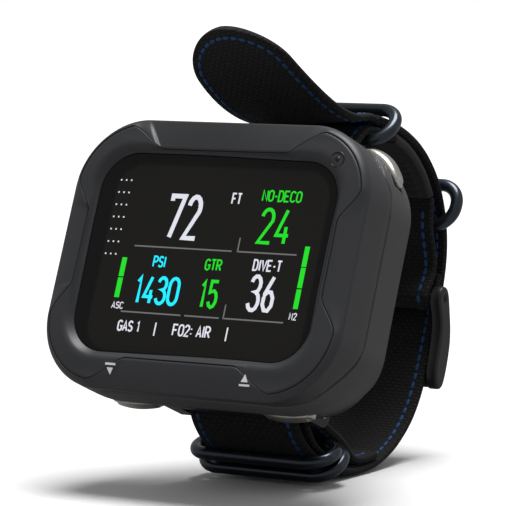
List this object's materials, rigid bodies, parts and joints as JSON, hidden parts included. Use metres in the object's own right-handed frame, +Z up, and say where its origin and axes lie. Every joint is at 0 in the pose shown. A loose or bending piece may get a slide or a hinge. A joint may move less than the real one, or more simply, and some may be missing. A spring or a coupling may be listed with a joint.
{
  "type": "wrist dive computer",
  "caption": "Wrist-worn dive computer with a large rounded screen, press buttons in its ribbed rear band, and a webbing strap closed by a buckle and rod keeper rings.",
  "frame": {"origin": "middle of the wrist, on the case's left-right mid plane", "axes": "+X along the wrist axis, to the right as the screen is read; +Y away from the reader, from the screen towards the back of the wrist; +Z up, with the case leaning back 21.8 degrees"},
  "size_m": [0.082, 0.1071, 0.1104],
  "materials": {
    "bezel_shell": "fine satin moulded finish",
    "grip_ribbed": "finely ribbed matt elastomer",
    "lens_glass": "polished, hard coated",
    "display": "colour display panel",
    "internal_plastic": "as moulded",
    "board": "solder mask",
    "battery": "foil pouch",
    "seal_rubber": "smooth elastomer",
    "steel": "stainless, as machined",
    "copper_coil": "enamelled winding",
    "button_metal": "bead-blasted warm grey steel",
    "dark_steel": "dark blue-grey coated steel, semi-gloss",
    "webbing": "black woven webbing with blue edge stitching",
    "insert_rubber": "moulded elastomer with cross ribs",
    "buckle_plastic": "moulded, fine texture"
  },
  "bodies": {
    "case": {"front_bezel": "bezel_shell", "screen_lens": "lens_glass", "lens_gasket": "seal_rubber", "display_module": "display", "display_frame": "internal_plastic", "main_board": "board", "battery_pack": "battery", "antenna_coil": "copper_coil", "vibration_motor": "steel", "sounder_disc": "steel", "inner_case": "internal_plastic", "button_seals": "seal_rubber", "tact_switches": "internal_plastic", "button_left_spring": "steel", "button_right_spring": "steel", "button_side_spring": "steel", "grip_band": "grip_ribbed", "rear_cover": "internal_plastic", "case_seal": "seal_rubber", "pressure_sensor": "steel", "sensor_guard": "internal_plastic", "rear_cover_screws": "steel", "lug_screws": "steel", "charging_contacts": "steel", "lug_top": "buckle_plastic", "lug_top_pin": "steel", "lug_bottom": "buckle_plastic", "lug_bottom_pin": "steel", "main_strap": "webbing", "strap_fold": "webbing", "ring_tab": "webbing", "upper_strap": "webbing", "rubber_insert": "insert_rubber", "short_strap": "webbing", "strap_tail": "webbing"},
    "left_button": {"button_left": "button_metal", "button_left_clip": "steel"},
    "right_button": {"button_right": "button_metal", "button_right_clip": "steel"},
    "side_button": {"button_side": "button_metal", "button_side_clip": "steel"},
    "buckle": {"buckle_frame": "buckle_plastic", "buckle_pin": "dark_steel"},
    "tang": {"buckle_tang": "dark_steel"},
    "top_ring": {"ring_top": "dark_steel"},
    "rear_ring": {"ring_rear": "dark_steel"},
    "front_lower_ring": {"ring_lower_front": "dark_steel"},
    "rear_lower_ring": {"ring_lower_rear": "dark_steel"}
  },
  "joints": [
    {"name": "left_button_press", "type": "slide", "parent": "case", "child": "left_button", "axis": [0, 0.3714, 0.9285], "range_m": [0, 0.0008], "stiffness_N_per_m": 900, "springref_m": -0.0006, "deforming": ["button_left_spring"]},
    {"name": "right_button_press", "type": "slide", "parent": "case", "child": "right_button", "axis": [0, 0.3714, 0.9285], "range_m": [0, 0.0008], "stiffness_N_per_m": 900, "springref_m": -0.0006, "deforming": ["button_right_spring"]},
    {"name": "side_button_press", "type": "slide", "parent": "case", "child": "side_button", "axis": [-0.6613, -0.2786, -0.6965], "range_m": [0, 0.0008], "stiffness_N_per_m": 900, "springref_m": -0.0006, "deforming": ["button_side_spring"]},
    {"name": "buckle_swing", "type": "hinge", "parent": "case", "child": "buckle", "pos_m": [0, 0.03064, -0.00148], "axis": [1, 0, 0], "range_deg": [0, 25]},
    {"name": "tang_lift", "type": "hinge", "parent": "buckle", "child": "tang", "pos_m": [0, 0.03064, -0.00148], "axis": [1, 0, 0], "range_deg": [0, 15]},
    {"name": "top_ring_tilt", "type": "hinge", "parent": "case", "child": "top_ring", "pos_m": [0, -0.00106, 0.03983], "axis": [1, 0, 0], "range_deg": [0, 10]},
    {"name": "rear_ring_tilt", "type": "hinge", "parent": "case", "child": "rear_ring", "pos_m": [0, 0.03332, 0.01652], "axis": [1, 0, 0], "range_deg": [-15, 8]},
    {"name": "front_lower_ring_tilt", "type": "hinge", "parent": "case", "child": "front_lower_ring", "pos_m": [0, -0.03128, -0.03578], "axis": [1, 0, 0], "range_deg": [0, 6]},
    {"name": "rear_lower_ring_tilt", "type": "hinge", "parent": "case", "child": "rear_lower_ring", "pos_m": [0, -0.01692, -0.03417], "axis": [1, 0, 0], "range_deg": [0, 12]}
  ]
}
